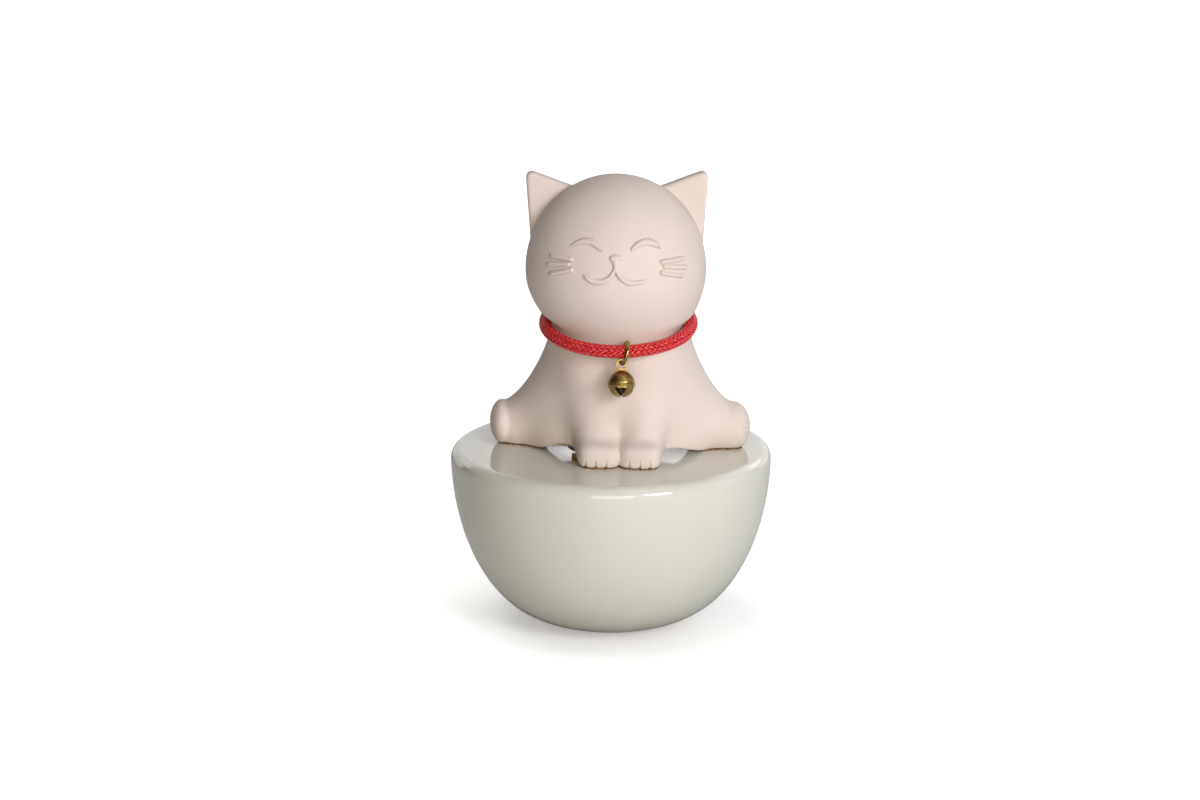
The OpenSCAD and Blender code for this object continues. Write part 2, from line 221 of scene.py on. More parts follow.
# ---------------------------------------------------------------- materials
def bisque_finish():
    f = Finish("bisque", Roughness=0.62, Specular_IOR_Level=0.35, Subsurface_Weight=0.1)
    f.shader.inputs["Subsurface Radius"].default_value = (1.0, 0.75, 0.6)
    f.shader.inputs["Subsurface Scale"].default_value = 0.001
    cloud = f.stretch(f.noise(38, 3), 0.3, 0.7)
    tone = f.mix(cloud, rgb(222, 207, 198), rgb(227, 214, 206))
    grain = f.stretch(f.noise(2600, 2), 0.35, 0.65)
    tone = f.mix(f.math("MULTIPLY", grain, 0.14), tone, rgb(208, 190, 178))
    pits = f.stretch(f.noise(420, 2, 0.5), 0.76, 0.8)
    tone = f.mix(f.math("MULTIPLY", pits, 0.2), tone, rgb(188, 166, 150))
    # Adhesive wiped along the lower edge beside the left paw
    smear = f.nearby(CAT + (-15.6, -13.5, 2.6), (5.5, 8.0, 1.3))
    smear = f.math("MULTIPLY", smear, f.stretch(f.noise(700, 3, 0.6), 0.3, 0.55))
    tone = f.mix(f.math("MULTIPLY", smear, 0.75), tone, rgb(150, 112, 56))
    f.feed("Base Color", tone)
    f.feed("Roughness", f.stretch(f.noise(160, 3), 0.3, 0.7, 0.56, 0.68))
    f.bump(f.noise(3400, 3, 0.6), 0.00003, 0.5)
    return f.material


def celadon_finish():
    f = Finish("celadon_glaze", IOR=1.54)
    high = axis_height(f, 2, BASE_TOP)
    tone = f.mix(high, rgb(210, 210, 196), rgb(215, 214, 203))
    drift = f.node("Mapping", {"Vector": f.place(), "Scale": (1.0, 1.0, 0.16)}).outputs[0]
    runs = f.stretch(f.noise(70, 3, 0.5, drift), 0.35, 0.65)
    tone = f.mix(f.math("MULTIPLY", runs, 0.35), tone, rgb(221, 219, 209))
    # Painted highlight: a lighter band along the rounded rim, broken up by noise
    rim = axis_height(f, BASE_TOP - 2.6, BASE_TOP - 0.4)
    rim_highlight = f.math("MULTIPLY", rim, f.stretch(f.noise(240, 2), 0.2, 0.8, 0.2, 0.55))
    tone = f.mix(rim_highlight, tone, rgb(224, 222, 211))
    specks = f.node("TexVoronoi", {"Vector": f.place(), "Scale": 130.0}).outputs["Distance"]
    dots = f.stretch(specks, 0.05, 0.09, 1.0, 0.0)
    chosen = f.stretch(f.noise(60, 1), 0.62, 0.66)
    tone = f.mix(f.math("MULTIPLY", f.math("MULTIPLY", dots, chosen), 0.35), tone, rgb(170, 166, 146))
    f.feed("Base Color", tone)
    f.feed("Roughness", f.stretch(f.noise(90, 3), 0.3, 0.7, 0.035, 0.07))
    f.bump(f.noise(60, 2, 0.4), 0.00012, 0.35)
    return f.material


def footring_finish():
    f = Finish("bare_foot", Roughness=0.85, Specular_IOR_Level=0.25)
    tone = f.mix(f.stretch(f.noise(500, 4, 0.6), 0.3, 0.7), rgb(176, 128, 104), rgb(205, 166, 142))
    f.feed("Base Color", tone)
    f.bump(f.noise(2200, 3, 0.6), 0.00005, 0.7)
    return f.material


# The first two colours are the shaded and the lit red; the third is a painted highlight colour
def cord_finish(name, shade_tone, light, highlight_tone):
    f = Finish(name, Roughness=0.5, Specular_IOR_Level=0.6, Sheen_Weight=0.08, Sheen_Roughness=0.4)
    f.shader.inputs["Sheen Tint"].default_value = rgb(255, 130, 130)
    uv = f.node("TexCoord").outputs["UV"]
    fibre_at = f.node("Mapping", {"Vector": uv, "Scale": (2.2, 26.0, 1.0)}).outputs[0]
    fibres = f.noise(1.0, 3, 0.6, fibre_at)
    # Painted shade: lighter where a strand lies on top, darker where it dips, turns under or curves away at
    # its sides, with fibre noise mixed in
    lift = f.node("Attribute", attribute_name="lift").outputs["Fac"]
    shade_and_fibres = f.math("ADD", f.stretch(lift, 0.12, 0.75), f.stretch(fibres, 0.3, 0.7, -0.25, 0.25), clamp=True)
    tone = f.mix(shade_and_fibres, shade_tone, light)
    # Painted highlight: the tops of strands that lie over others turn towards the highlight colour, more on
    # some strands than others
    strand = f.node("Attribute", attribute_name="tone").outputs["Fac"]
    top = f.math("MULTIPLY", f.stretch(lift, 0.6, 0.85), f.math("MULTIPLY", strand, 0.9))
    tone = f.mix(top, tone, highlight_tone)
    f.feed("Base Color", tone)
    f.feed("Roughness", f.stretch(fibres, 0.3, 0.7, 0.26, 0.45))
    f.bump(fibres, 0.00009, 0.9)
    return f.material


def brass_finish(name="aged_brass", polish=0.0):
    f = Finish(name, Metallic=1.0, Coat_Weight=0.55, Coat_Roughness=0.1)
    patches = f.stretch(f.noise(620, 4, 0.6), 0.38, 0.66)
    tone = f.mix(patches, rgb(186, 158, 88), rgb(140, 113, 52))
    spots = f.stretch(f.noise(2100, 3, 0.65), 0.52, 0.7)
    tone = f.mix(f.math("MULTIPLY", spots, 0.75 - polish), tone, rgb(98, 74, 30))
    f.feed("Base Color", tone)
    rough = f.stretch(f.noise(1500, 3, 0.6), 0.3, 0.7, 0.34 - 0.34 * polish, 0.56 - 0.7 * polish)
    f.feed("Roughness", rough)
    f.bump(f.noise(2600, 3, 0.65), 0.00004, 0.8 - polish)
    return f.material


def glue_finish():
    f = Finish("adhesive", IOR=1.46, Coat_Weight=0.4)
    tone = f.mix(f.stretch(f.noise(900, 3), 0.35, 0.7), rgb(104, 70, 26), rgb(152, 110, 50))
    f.feed("Base Color", tone)
    f.feed("Roughness", f.stretch(f.noise(1400, 2), 0.3, 0.7, 0.22, 0.5))
    f.bump(f.noise(1600, 2), 0.00006, 0.6)
    return f.material


def plain_finish(name, low, high, scale, rough, metallic=0.0, depth=0.00008):
    """Two tones mixed by noise, with uneven roughness and a small bump: for the parts inside the base."""
    f = Finish(name, Metallic=metallic)
    f.feed("Base Color", f.mix(f.stretch(f.noise(scale, 5, 0.6), 0.35, 0.65), low, high))
    f.feed("Roughness", f.stretch(f.noise(scale * 2, 3), 0.3, 0.7, rough[0], rough[1]))
    f.bump(f.noise(scale * 4, 4, 0.6), depth, 0.6)
    return f.material


BISQUE = bisque_finish()
CELADON = celadon_finish()
BARE_FOOT = footring_finish()
# Each cord finish takes a shaded red, a lit red and a painted highlight colour
RED = cord_finish("red_braid", rgb(128, 6, 9), rgb(226, 28, 32), rgb(255, 92, 92))
# The core's colours are darker than the strands': painted shade in the gaps between them
RED_CORE_SHADE = cord_finish("red_core_shade", rgb(84, 6, 12), rgb(116, 10, 18), rgb(130, 16, 22))
RED_THREAD = cord_finish("red_thread", rgb(112, 8, 16), rgb(168, 18, 28), rgb(190, 30, 40))
BRASS = brass_finish()
WIRE = brass_finish("brass_wire", 0.4)
GLUE = glue_finish()
IRON = plain_finish("cast_weight", rgb(70, 68, 66), rgb(104, 98, 92), 300, (0.5, 0.75), 0.9)
PLASTER = plain_finish("plaster", rgb(214, 210, 200), rgb(232, 229, 221), 220, (0.8, 0.95))
STOPPER = plain_finish("stopper", rgb(150, 118, 82), rgb(186, 154, 112), 700, (0.75, 0.9), depth=0.0002)
STEEL = plain_finish("pellet_steel", rgb(46, 40, 36), rgb(66, 58, 52), 900, (0.45, 0.6), 0.6, 0.00002)


# ---------------------------------------------------------------- mesh helpers
def mesh_piece(name, points, faces, finish, body, nodes, uv=None):
    """Makes an object from points in mm and a list or array of faces, and ties it to the frame."""
    mesh = bpy.data.meshes.new(name)
    points = np.asarray(points, float) * MM
    mesh.from_pydata(points.tolist(), [], faces.tolist() if isinstance(faces, np.ndarray) else faces)
    mesh.materials.append(finish)
    mesh.polygons.foreach_set("use_smooth", np.full(len(mesh.polygons), True))
    if uv is not None:
        layer = mesh.uv_layers.new(name="UVMap")
        corner = np.empty(len(mesh.loops), np.int64)
        mesh.loops.foreach_get("vertex_index", corner)
        layer.data.foreach_set("uv", np.asarray(uv, np.float32)[corner].ravel())
    mesh.validate()
    mesh.update()
    piece = bpy.data.objects.new(name, mesh)
    bpy.context.scene.collection.objects.link(piece)
    tie(piece, body, nodes)
    return piece


def tie(piece, body, nodes):
    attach(piece, body)
    if nodes:
        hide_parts(*nodes)


def turned(profile, turns):
    """Points and quads of a closed profile of (radius, height) turned round the Z axis."""
    profile = np.asarray(profile, float)
    angle = np.arange(turns) * 2 * math.pi / turns
    points = np.empty((len(profile), turns, 3))
    points[..., 0] = profile[:, :1] * np.cos(angle)
    points[..., 1] = profile[:, :1] * np.sin(angle)
    points[..., 2] = profile[:, 1:2]
    return points.reshape(-1, 3), grid_faces(len(profile), turns, True)


def grid_faces(rows, columns, close_rows=False, close_columns=True, start=0):
    """Quads of a grid of points, row after row."""
    r = np.arange(rows if close_rows else rows - 1)[:, None]
    c = np.arange(columns if close_columns else columns - 1)[None, :]
    r2 = (r + 1) % rows
    c2 = (c + 1) % columns
    a, b = np.broadcast_arrays(r * columns + c, r * columns + c2)
    d, e = np.broadcast_arrays(r2 * columns + c2, r2 * columns + c)
    return start + np.stack([a, b, d, e], -1).reshape(-1, 4)


def level_set(field, low, high, cell, passes=3):
    """Quad mesh of the zero level of a field in mm, its points moved onto the level."""
    axes = [np.arange(low[i], high[i] + cell, cell) for i in range(3)]
    values = field(*np.meshgrid(*axes, indexing="ij")).astype(np.float32)
    grid = openvdb.FloatGrid(float(cell * 4))
    grid.copyFromArray(values)
    points, quads = grid.convertToQuads(0.0)
    points = np.asarray(points, float) * cell + np.array(low)
    return settle(field, points, cell * 0.25, passes), np.asarray(quads, np.int64)[:, ::-1]


def settle(field, points, step, passes):
    """Moves points along the field's slope onto its zero level."""
    points = points.copy()
    for _ in range(passes):
        x, y, z = points.T
        value = field(x, y, z)
        slope = np.stack([
            field(x + step, y, z) - field(x - step, y, z),
            field(x, y + step, z) - field(x, y - step, z),
            field(x, y, z + step) - field(x, y, z - step)], -1) / (2 * step)
        steep = np.maximum((slope ** 2).sum(-1), 0.05)
        points -= slope * np.clip(value / steep, -0.4, 0.4)[:, None]
    return points


def soft_min(a, b, k):
    """Union of two fields with a fillet about k wide."""
    h = np.maximum(k - np.abs(a - b), 0) / k
    return np.minimum(a, b) - h * h * h * k / 6


def soft_max(a, b, k):
    return -soft_min(-a, -b, k)


def ease(v, a, b):
    """0 below a, 1 above b, smooth between."""
    t = np.clip((v - a) / (b - a), 0, 1)
    return t * t * (3 - 2 * t)


def egg(x, y, z, c, r):
    """Distance to an ellipsoid, near enough: c is its middle and r its three radii."""
    px, py, pz = x - c[0], y - c[1], z - c[2]
    u = np.sqrt((px / r[0]) ** 2 + (py / r[1]) ** 2 + (pz / r[2]) ** 2)
    v = np.sqrt((px / r[0] ** 2) ** 2 + (py / r[1] ** 2) ** 2 + (pz / r[2] ** 2) ** 2) + 1e-6
    return u * (u - 1) / v


def limb(x, y, z, a, b, ra, rb):
    """Distance to a capsule from a to b whose radius goes smoothly from ra to rb."""
    d = [b[i] - a[i] for i in range(3)]
    t = ((x - a[0]) * d[0] + (y - a[1]) * d[1] + (z - a[2]) * d[2]) / sum(v * v for v in d)
    t = np.clip(t, 0, 1)
    across = (x - a[0] - t * d[0]) ** 2 + (y - a[1] - t * d[1]) ** 2 + (z - a[2] - t * d[2]) ** 2
    return np.sqrt(across) - ra - t * t * (3 - 2 * t) * (rb - ra)


def block(x, y, z, c, r, n):
    """Rounded block: a superellipsoid with exponent n."""
    px, py, pz = np.abs(x - c[0]) / r[0], np.abs(y - c[1]) / r[1], np.abs(z - c[2]) / r[2]
    u = (px ** n + py ** n + pz ** n) ** (1 / n) + 1e-6
    v = np.sqrt((px ** (n - 1) / r[0]) ** 2 + (py ** (n - 1) / r[1]) ** 2 + (pz ** (n - 1) / r[2]) ** 2)
    return (u - 1) / (v * u ** (1 - n) + 1e-4)


def curve_through(points, per_span):
    """Smooth curve through points (Catmull-Rom), as an array."""
    p = np.asarray(points, float)
    p = np.vstack([2 * p[0] - p[1], p, 2 * p[-1] - p[-2]])
    t = np.linspace(0, 1, per_span, endpoint=False)[:, None]
    spans = []
    for i in range(1, len(p) - 2):
        a, b, c, d = p[i - 1], p[i], p[i + 1], p[i + 2]
        spans.append(0.5 * (2 * b + (c - a) * t + (2 * a - 5 * b + 4 * c - d) * t ** 2
                            + (3 * b - a - 3 * c + d) * t ** 3))
    return np.vstack([*spans, p[-2:-1]])


# ---------------------------------------------------------------- cat
HEAD_C = (0.0, -5.0, 53.4)
HEAD_UP = (25.9, 24.0, 27.3)
HEAD_DOWN = (25.9, 24.0, 21.9)
HEAD_BLEND = 9
HEAD_LEAN = 0.9
LEG_SKEW = 0.08
CAT_LOW = (-40.5, -31, -1.5)
CAT_HIGH = (40.5, 25, 83.5)
CAT_CELL = 0.55
COLLAR_R = 21.0
GROOVE_R = 2.32
GROOVE_BLEND = 3.6
# Corners of the right ear's outline: (x, z)
EAR_CORNERS = [(24.3, 79.0), (10.0, 73.6), (23.0, 60.0)]
EAR_SHIFT = 0.3
EAR_ROUND = 1.7
EAR_EDGE = 1.1
EAR_Y = 0.4
EAR_THICK = 5.4
TAIL = [(0, 16, 4.2), (5, 17.2, 3.8), (9.5, 16, 3.6)]
TAIL_R = [3.6, 3.2, 2.8]
FOOT_EDGE = 0.8
collar_axis = np.array(JOINTS["collar_turn"]["axis"], float)
collar_local = COLLAR_C - CAT


def collar_distance(x, y, z):
    """Distance to the collar's centreline, in the cat's frame."""
    p = np.stack([x - collar_local[0], y - collar_local[1], z - collar_local[2]], -1)
    up = p @ collar_axis
    out = np.sqrt(np.maximum((p ** 2).sum(-1) - up ** 2, 0))
    return np.sqrt((out - COLLAR_R) ** 2 + up ** 2)


def polygon_distance(x, z, corners):
    """Signed distance to a polygon in a plane, negative inside."""
    near = np.full(np.shape(x), 1e9)
    inside = np.zeros(np.shape(x), bool)
    for (ax, az), (bx, bz) in zip(corners, corners[1:] + corners[:1]):
        dx, dz = bx - ax, bz - az
        t = np.clip(((x - ax) * dx + (z - az) * dz) / (dx * dx + dz * dz), 0, 1)
        near = np.minimum(near, (x - ax - t * dx) ** 2 + (z - az - t * dz) ** 2)
        if dz:
            inside ^= ((az > z) != (bz > z)) & (x < ax + (z - az) / dz * dx)
    return np.where(inside, -1, 1) * np.sqrt(near)


def ear_field(ax, y, z):
    """Both ears as one rounded triangle, as ax is the distance from the middle plane."""
    face = polygon_distance(ax, z, EAR_CORNERS) - EAR_ROUND + EAR_EDGE
    slab = np.abs(y - EAR_Y) - (EAR_THICK / 2 - 0.5 * ease(z, 66, 80) - EAR_EDGE)
    outside = np.sqrt(np.maximum(face, 0) ** 2 + np.maximum(slab, 0) ** 2)
    return outside + np.minimum(np.maximum(face, slab), 0) - EAR_EDGE


def body_field(x, y, z, ax):
    trunk = limb(x / 1.13, y, z, (0.35, -2.6, 42), (0.25, 2.6, 6), 16.9, 17.6)
    throat = egg(x, y, z, (0, -6, 35.5), (16, 13.4, 10.5))
    thigh = limb(np.hypot(x, 2.65), y, z, (12, 0.5, 12.6), (31, 1.2, 6), 11.3, 5.9)
    leg = limb(np.hypot(x, 1.1 + 4.3 * ease(z, 8, 19)), y, z, (8.0, -9.4, 26), (5.95, -18.2, 4), 9.3, 6)
    paw = block(ax, y, z, (5.7, -21.2, 2.9), (6.25, 6.6, 3.9), 3.4)
    belly = egg(ax, y, z, (12.5, -1.5, 4.5), (12.5, 11.5, 9))
    f = soft_min(soft_min(soft_min(trunk, throat, 6), thigh, 27), belly, 5)
    f = soft_min(f, leg, 7)
    rump = ease(y, 6, 10) * (1 - ease(ax, 9, 13))
    # Underneath, the casting is hollowed between its legs by an arch that rises towards the rump
    arch = 2.6 + 0.27 * np.clip(y + 11, 0, 26)
    f = soft_max(f, arch * (1 - ease(ax, 16, 25)) * (1 - rump) - z, 0.9)
    f = soft_min(f, paw, 4)
    # The left hind foot stands out in front of its thigh behind a crease; the right one is smooth
    foot_left = egg(x, y, z, (-34.2, 1.2, 6.1), (3.6, 7.8, 6.3))
    foot_right = egg(x, y, z, (34.2, 1.4, 6.1), (3.6, 6.4, 6.3))
    f = soft_min(soft_min(f, foot_left, 0.9), foot_right, 4)
    for i in range(len(TAIL) - 1):
        f = soft_min(f, limb(x, y, z, TAIL[i], TAIL[i + 1], TAIL_R[i], TAIL_R[i + 1]), 1.5)
    return f


def leaned(x, y, z):
    """The head leans a little to one side and the hind legs sit a little skewed."""
    s = ease(z, 28, 50)
    x = x + HEAD_LEAN * s
    return x, y + LEG_SKEW * x * (1 - s)


# Face relief: points are (x, z, half width) on the head's front
FACE_LINES = [
    [(-12.5, 64.0, 0.3), (-10.8, 65.0, 0.62), (-8.7, 65.5, 0.9), (-6.9, 65.4, 0.95), (-5.5, 64.6, 0.84),
     (-4.2, 63.3, 0.44)],
    [(4.3, 63.3, 0.34), (5.4, 64.3, 0.73), (7.0, 65.1, 0.95), (8.8, 65.3, 0.97), (10.5, 64.8, 0.86),
     (12.4, 63.5, 0.3)],
    [(-1.0, 61.1, 0.95), (-0.1, 61.2, 1.05), (0.9, 61.1, 0.88)],
    [(-0.1, 60.9, 1.4), (-0.1, 59.7, 1.0), (-0.1, 58.5, 0.73)],
    [(-0.1, 58.5, 0.73), (-0.6, 57.6, 0.66), (-1.3, 56.4, 0.73), (-2.6, 55.2, 0.84), (-4.4, 54.5, 0.87),
     (-6.4, 54.6, 0.85), (-8.0, 55.4, 0.66), (-9.1, 56.4, 0.3)],
    [(-0.1, 58.5, 0.73), (0.4, 57.2, 0.66), (1.4, 55.7, 0.73), (3.0, 54.6, 0.87), (4.8, 54.2, 0.87),
     (6.8, 54.4, 0.62), (8.6, 55.0, 0.22)],
    [(-18.0, 60.7, 0.82), (-12.6, 60.4, 0.72)], [(-19.0, 58.1, 0.74), (-13.4, 58.95, 0.66)],
    [(-18.2, 55.6, 0.76), (-12.6, 57.5, 0.7)], [(13.0, 59.6, 0.73), (18.7, 59.7, 0.69)],
    [(13.7, 58.3, 0.73), (19.6, 57.2, 0.72)], [(12.8, 56.6, 0.66), (18.5, 55.0, 0.66)]]
RELIEF_H = 0.85
FULL_HEIGHT_W = 0.62
LINES = [curve_through(line, 6 if len(line) > 2 else 1) for line in FACE_LINES]
# Grooves between the toes: (x, depth)
TOE_GROOVES = [(-9.65, 0.85), (-6.85, 0.85), (-3.85, 0.7), (2.75, 0.75), (5.75, 0.85), (8.65, 0.75)]


def relief_height(x, z):
    """Height of the raised face lines at a point of the head's front."""
    height = np.zeros_like(x)
    for line in LINES:
        for (ax, az, ar), (bx, bz, br) in zip(line[:-1], line[1:]):
            dx, dz = bx - ax, bz - az
            t = np.clip(((x - ax) * dx + (z - az) * dz) / (dx * dx + dz * dz + 1e-9), 0, 1)
            half = ar + t * (br - ar)
            across = np.minimum(np.hypot(x - ax - t * dx, z - az - t * dz) / half, 1)
            height = np.maximum(height, RELIEF_H * np.minimum(half / FULL_HEIGHT_W, 1) * (1 - across ** 3.2))
    return height


def groove_depth(x, y, z):
    """Depth of the wedge-shaped grooves between the toes: wide at the bottom, a point at the top."""
    depth = np.zeros_like(x)
    for middle_x, full in TOE_GROOVES:
        wide = 0.14 + 0.55 * np.clip(1 - z / 3.1, 0, 1)
        notch = np.maximum(1 - np.abs(x - middle_x) / wide, 0)
        depth = np.maximum(depth, full * notch * (1 - ease(z, 1.8, 3.1)))
    return depth * ease(-y, 23, 25.5)


def foot_nicks(x, y, z):
    """Two short slanting nicks at the outer end of the right hind foot."""
    depth = np.zeros_like(x)
    nick_x, run, fall = 36.2, 0.75, 0.66
    for nick_z in (8.6, 6.9):
        along = (x - nick_x) * run - (z - nick_z) * fall
        across = (x - nick_x) * fall + (z - nick_z) * run
        nick = np.maximum(1 - np.abs(across) / 0.4, 0) * (1 - ease(np.abs(along), 0.9, 1.7))
        depth = np.maximum(depth, 0.35 * nick)
    return depth * ease(-y, -1, 2)


def cat_field(x, y, z, detail=False):
    groove = GROOVE_R - collar_distance(x, y, z)
    x, y = leaned(x, y, z)
    ax = np.abs(x)
    head = np.where(z > HEAD_C[2], egg(x, y, z, HEAD_C, HEAD_UP), egg(x, y, z, HEAD_C, HEAD_DOWN))
    head = soft_min(head, ear_field(np.abs(x - EAR_SHIFT), y, z), 1)
    f = soft_min(body_field(x, y, z, ax), head, HEAD_BLEND)
    f = soft_max(f, groove, GROOVE_BLEND)
    if detail:
        face = (y < -12) & (z > 48) & (z < 71)
        f[face] -= relief_height(x[face], z[face])
        toes = (y < -19) & (z < 6)
        f[toes] += groove_depth(x[toes], y[toes], z[toes])
        end = (x > 33) & (z > 4)
        f[end] += foot_nicks(x[end], y[end], z[end])
    return soft_max(f, -z, FOOT_EDGE)


def refine(points, faces, chosen, levels):
    """Splits the faces whose middle is chosen into four, levels times."""
    mesh = bpy.data.meshes.new("work")
    mesh.from_pydata(points.tolist(), [], faces.tolist())
    bm = bmesh.new()
    bm.from_mesh(mesh)
    for level in range(levels):
        middles = np.array([face.calc_center_median() for face in bm.faces])
        picked = chosen(middles, level)
        edges = {edge for face, hit in zip(bm.faces, picked) if hit for edge in face.edges}
        bmesh.ops.subdivide_edges(bm, edges=list(edges), cuts=1, use_grid_fill=True)
    bm.to_mesh(mesh)
    bm.free()
    return mesh


def near_detail(middles, level):
    """Picks the face middles near the raised lines, the toe grooves and the foot nicks."""
    x, y, z = middles.T
    x, y = leaned(x, y, z)
    reach = 0.7 - 0.3 * level
    face = (y < -12) & (z > 50) & (z < 69) & (np.abs(x) < 22)
    hit = np.zeros(len(x), bool)
    spread = np.zeros(int(face.sum()))
    for dx in (-reach, 0, reach):
        for dz in (-reach, 0, reach):
            spread = np.maximum(spread, relief_height(x[face] + dx, z[face] + dz))
    hit[face] = spread > 0
    toes = (y < -20) & (z < 4.6) & (z > -0.2)
    near = np.zeros(len(x), bool)
    for groove_x, _ in TOE_GROOVES:
        near |= np.abs(x - groove_x) < 1.2 - 0.3 * level
    end = (x > 34) & (y < 2) & (z > 5) & (z < 10.5)
    return hit | (toes & near) | end


def build_cat():
    points, quads = level_set(cat_field, CAT_LOW, CAT_HIGH, CAT_CELL)
    mesh = refine(points, quads, near_detail, 2)
    points = np.empty(len(mesh.vertices) * 3)
    mesh.vertices.foreach_get("co", points)
    points = settle(lambda x, y, z: cat_field(x, y, z, True), points.reshape(-1, 3), 0.06, 4)
    mesh.vertices.foreach_set("co", ((points + CAT) * MM).ravel())
    mesh.materials.append(BISQUE)
    mesh.polygons.foreach_set("use_smooth", np.full(len(mesh.polygons), True))
    mesh.update()
    cat = bpy.data.objects.new("cat_casting", mesh)
    bpy.context.scene.collection.objects.link(cat)
    tie(cat, "figurine", ["cat_figure"])


build_cat()


# ---------------------------------------------------------------- base
RIM_R = 3.2
FOOT_R = 11.0
BARE_R = 22.5
WALL = 4.0
FLOOR_T = 5.0
HOLLOW_RIM = 3.0
POUR_R = 12.5
TURNED_STEPS = 224


def bowl_side(r, big_r, rise):
    """Height of the bowl's flank at a radius; it is rise high at big_r."""
    return rise * (1 - (1 - (r / big_r) ** 3.35) ** (1 / 1.8))


def bowl_radii(big_r, steps=44):
    return FOOT_R + (big_r - FOOT_R) * np.sin(np.linspace(0, math.pi / 2, steps))


def rounded(big_r, top, r, steps=10):
    """Quarter round from the flank at big_r over to the top."""
    a = np.linspace(0, math.pi / 2, steps)[1:]
    return np.stack([big_r - r + r * np.cos(a), top - r + r * np.sin(a)], -1)


def build_base():
    side_top = BASE_TOP - RIM_R
    side_rise = side_top / (1 - bowl_side(FOOT_R, BASE_R, 1))
    radii = bowl_radii(BASE_R)
    side = np.stack([radii, bowl_side(radii, BASE_R, side_rise) - side_rise + side_top], -1)
    foot = [(0.02, 0.35), (FOOT_R - 2.6, 0.3), (FOOT_R - 2.2, 0.05), (FOOT_R - 1.8, 0.0),
            (FOOT_R - 0.35, 0.0), (FOOT_R - 0.1, 0.04)]
    outer = np.vstack([foot, side[1:], rounded(BASE_R, BASE_TOP, RIM_R),
                       [(BASE_R - 5, BASE_TOP), (30, BASE_TOP), (20, BASE_TOP), (POUR_R + 0.3, BASE_TOP)]])
    hollow_r = BASE_R - WALL
    hollow_top = BASE_TOP - WALL
    rise = hollow_top - HOLLOW_RIM - FLOOR_T
    hollow_radii = bowl_radii(hollow_r, 20)
    inner = np.vstack([[(0.02, FLOOR_T), (FOOT_R - 1, FLOOR_T)],
                       np.stack([hollow_radii, FLOOR_T + bowl_side(hollow_radii, hollow_r, rise)], -1),
                       rounded(hollow_r, hollow_top, HOLLOW_RIM, 6), [(POUR_R, hollow_top)]])
    profile = np.vstack([outer, [(POUR_R, BASE_TOP - 0.3)], inner[::-1]])
    points, faces = turned(profile, TURNED_STEPS)
    # A cast and glazed bowl is never quite round, and this one stays just inside its CAD
    angle = np.arctan2(points[:, 1], points[:, 0])
    shrink = 0.16 + 0.1 * np.sin(2 * angle + 0.7) + 0.06 * np.sin(3 * angle + 2)
    reach = ease(points[:, 2], 1, 14) * ease(np.hypot(points[:, 0], points[:, 1]), 14, 40)
    points[:, 0] -= shrink * reach * np.cos(angle)
    points[:, 1] -= shrink * reach * np.sin(angle)
    base = mesh_piece("glazed_base", points, faces, CELADON, "figurine", ["base_shell"])
    base.data.materials.append(BARE_FOOT)
    row = np.arange(len(faces)) // TURNED_STEPS
    bare = (row < len(foot) + np.sum(radii < BARE_R)) | (row > len(outer) - 1)
    base.data.polygons.foreach_set("material_index", bare.astype(np.int32))


build_base()


# ---------------------------------------------------------------- adhesive
def build_glue():
    """Thin beads squeezed out under the paws, hind legs and rump, following the casting's foot line."""
    low_z = FILM_TOP - BASE_TOP
    cell = 0.14

    def glue_field(x, y, z):
        foot = cat_field(x, y, np.full_like(x, 0.45))
        wobble = 0.1 * np.sin(x * 2.1 + 1) * np.sin(y * 1.7) + 0.07 * np.sin(x * 5.3) * np.sin(y * 4.1 + 2)
        edge = foot + 0.2 - wobble
        # A drop by the outer side of the left paw
        drop = np.sqrt((x + 12.7) ** 2 + (y + 16.4) ** 2 + ((z - 0.5) * 0.7) ** 2) - 0.9 - wobble * 1.5
        return soft_min(soft_max(np.abs(z + low_z / 2) - low_z / 2 - 0.08, edge, 0.2), drop, 0.3)

    patches = {
        "paw_glue_left": ((-14.6, -28.5), (0.0, -14.5)), "paw_glue_right": ((0.0, -29), (12.6, -14.5)),
        "hind_glue_left": ((-37, -5), (-22.5, 10)), "hind_glue_right": ((22.5, -9), (37, 8)),
        "rump_glue": ((-10.5, 10), (10.5, 19))}
    for node, ((x0, y0), (x1, y1)) in patches.items():
        def clipped(x, y, z):
            beyond_x = np.abs(x - (x0 + x1) / 2) - (x1 - x0) / 2
            beyond_y = np.abs(y - (y0 + y1) / 2) - (y1 - y0) / 2
            return soft_max(glue_field(x, y, z), np.maximum(beyond_x, beyond_y) + 0.4, 0.5)
        points, quads = level_set(clipped, (x0 - 0.5, y0 - 0.5, -low_z - 0.4), (x1 + 0.5, y1 + 0.5, 2.2),
                                  cell, 2)
        mesh_piece(node.replace("glue", "bead"), points + CAT, quads, GLUE, "figurine", [node])


build_glue()


# ---------------------------------------------------------------- collar
CORD_R = 1.9
LOOP_LENGTH = 132
CARRIERS = 24
TURNS = 7
STRAND_W = 0.38
STRAND_T = 0.34
UNDULATION = 0.3
collar_up = Vector(collar_axis)
collar_side = Vector((1, 0, 0))
collar_back = collar_up.cross(collar_side).normalized()
SIDE, BACK, UP = (np.array(v) for v in (collar_side, collar_back, collar_up))


def on_cord(around, roll, radius):
    """Point of the cord: around the neck, roll around the cord, at a radius from its centreline."""
    out = np.cos(around)[..., None] * SIDE + np.sin(around)[..., None] * BACK
    flat_r = (COLLAR_R + radius * np.cos(roll))[..., None]
    return COLLAR_C + flat_r * out + (radius * np.sin(roll))[..., None] * UP


